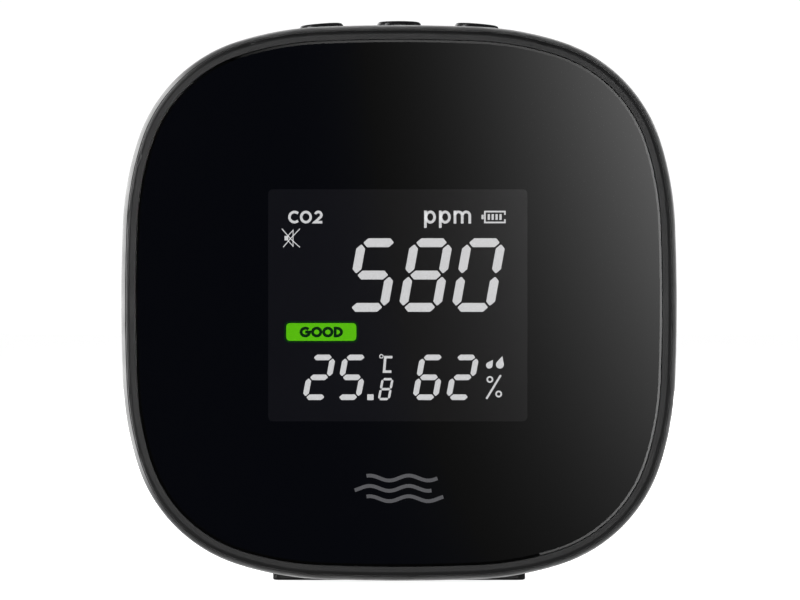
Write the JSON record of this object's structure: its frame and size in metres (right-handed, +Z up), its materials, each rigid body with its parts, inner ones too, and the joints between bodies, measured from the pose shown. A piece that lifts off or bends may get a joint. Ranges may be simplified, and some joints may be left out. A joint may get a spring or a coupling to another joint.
{
  "type": "carbon dioxide monitor",
  "caption": "Desktop carbon dioxide monitor: rounded square case with a dark full-face lens over a segment display, push buttons on top, a vented back and a low foot.",
  "frame": {"origin": "on the table, under the middle of the body's width and depth", "axes": "+X to the right of someone facing the display, -Y towards them, +Z up"},
  "size_m": [0.095, 0.042, 0.0964],
  "materials": {
    "tinted_lens": "polished, smoke tinted",
    "housing_grey": "fine satin moulded texture",
    "button_grey": "satin",
    "black_rubber": "matte",
    "tape": "matt adhesive film",
    "screw_steel": "zinc plated",
    "polariser_film": "smooth film",
    "display_glass": "clear",
    "white_plastic": "satin",
    "white_film": "matt",
    "green_film": "clear tinted film",
    "acrylic": "clear",
    "elastomer": "striped conductive and insulating layers",
    "board_green": "solder mask on glass fibre",
    "chip_black": "moulded epoxy",
    "lamp_white": "phosphor lamp",
    "tinned_metal": "tinned",
    "connector_cream": "nylon",
    "gold_pins": "gold plated",
    "ceramic_parts": "fired",
    "sounder_black": "moulded",
    "chamber_gold": "gold plated optical chamber",
    "membrane_white": "porous filter sheet",
    "mesh_black": "woven mesh",
    "cell_foil": "laminated foil",
    "foam_tape": "foam",
    "wire_red": "insulation",
    "ribbon_grey": "flat cable",
    "label_silver": "matt film label"
  },
  "bodies": {
    "case": {"front_lens": "tinted_lens", "lens_adhesive": "tape", "front_cover": "housing_grey", "rear_shell": "housing_grey", "case_screws": "screw_steel", "dust_screen": "mesh_black", "rating_label": "label_silver", "base_foot": "housing_grey", "foot_mat": "black_rubber", "foot_screws": "screw_steel", "button_board": "board_green", "switch_bodies": "chip_black", "switch_domes": "tinned_metal", "switch_covers": "tinned_metal", "button_board_screws": "screw_steel", "front_polariser": "polariser_film", "lcd_front_glass": "display_glass", "lcd_rear_glass": "display_glass", "rear_polariser": "polariser_film", "backlight_diffuser": "white_film", "backlight_reflector": "white_film", "status_filter": "green_film", "backlight_guide": "acrylic", "backlight_lamps": "lamp_white", "lcd_frame": "white_plastic", "zebra_strips": "elastomer", "main_board": "board_green", "board_screws": "screw_steel", "controller_chip": "chip_black", "display_driver_chip": "chip_black", "clock_crystal": "tinned_metal", "board_passives": "ceramic_parts", "button_connector": "connector_cream", "power_connector": "connector_cream", "battery_connector": "connector_cream", "battery_plug": "connector_cream", "climate_sensor": "chip_black", "buzzer": "sounder_black", "sensor_headers": "chip_black", "sensor_pins": "gold_pins", "sensor_board": "board_green", "sensor_chamber": "chamber_gold", "sensor_membrane": "membrane_white", "battery_cell": "cell_foil", "battery_tape": "foam_tape", "power_board": "board_green", "power_board_screws": "screw_steel", "usb_socket": "tinned_metal", "usb_tongue": "chip_black", "charger_chip": "chip_black", "battery_leads": "wire_red", "button_ribbon": "ribbon_grey", "power_ribbon": "ribbon_grey"},
    "left_button": {"left_button": "button_grey"},
    "left_plunger": {"left_switch_plunger": "chip_black"},
    "centre_button": {"centre_button": "button_grey"},
    "centre_plunger": {"centre_switch_plunger": "chip_black"},
    "right_button": {"right_button": "button_grey"},
    "right_plunger": {"right_switch_plunger": "chip_black"}
  },
  "joints": [
    {"name": "left_button_press", "type": "slide", "parent": "case", "child": "left_button", "axis": [0, 0, -1], "range_m": [0, 0.00035], "stiffness_N_per_m": 600, "springref_m": -0.001},
    {"name": "left_plunger_press", "type": "slide", "parent": "case", "child": "left_plunger", "axis": [0, 0, -1], "range_m": [0, 0.00035]},
    {"name": "centre_button_press", "type": "slide", "parent": "case", "child": "centre_button", "axis": [0, 0, -1], "range_m": [0, 0.00035], "stiffness_N_per_m": 600, "springref_m": -0.001},
    {"name": "centre_plunger_press", "type": "slide", "parent": "case", "child": "centre_plunger", "axis": [0, 0, -1], "range_m": [0, 0.00035]},
    {"name": "right_button_press", "type": "slide", "parent": "case", "child": "right_button", "axis": [0, 0, -1], "range_m": [0, 0.00035], "stiffness_N_per_m": 600, "springref_m": -0.001},
    {"name": "right_plunger_press", "type": "slide", "parent": "case", "child": "right_plunger", "axis": [0, 0, -1], "range_m": [0, 0.00035]}
  ],
  "couplings": [
    {"joint": "left_plunger_press", "follows": "left_button_press", "ratio": 1},
    {"joint": "centre_plunger_press", "follows": "centre_button_press", "ratio": 1},
    {"joint": "right_plunger_press", "follows": "right_button_press", "ratio": 1}
  ]
}
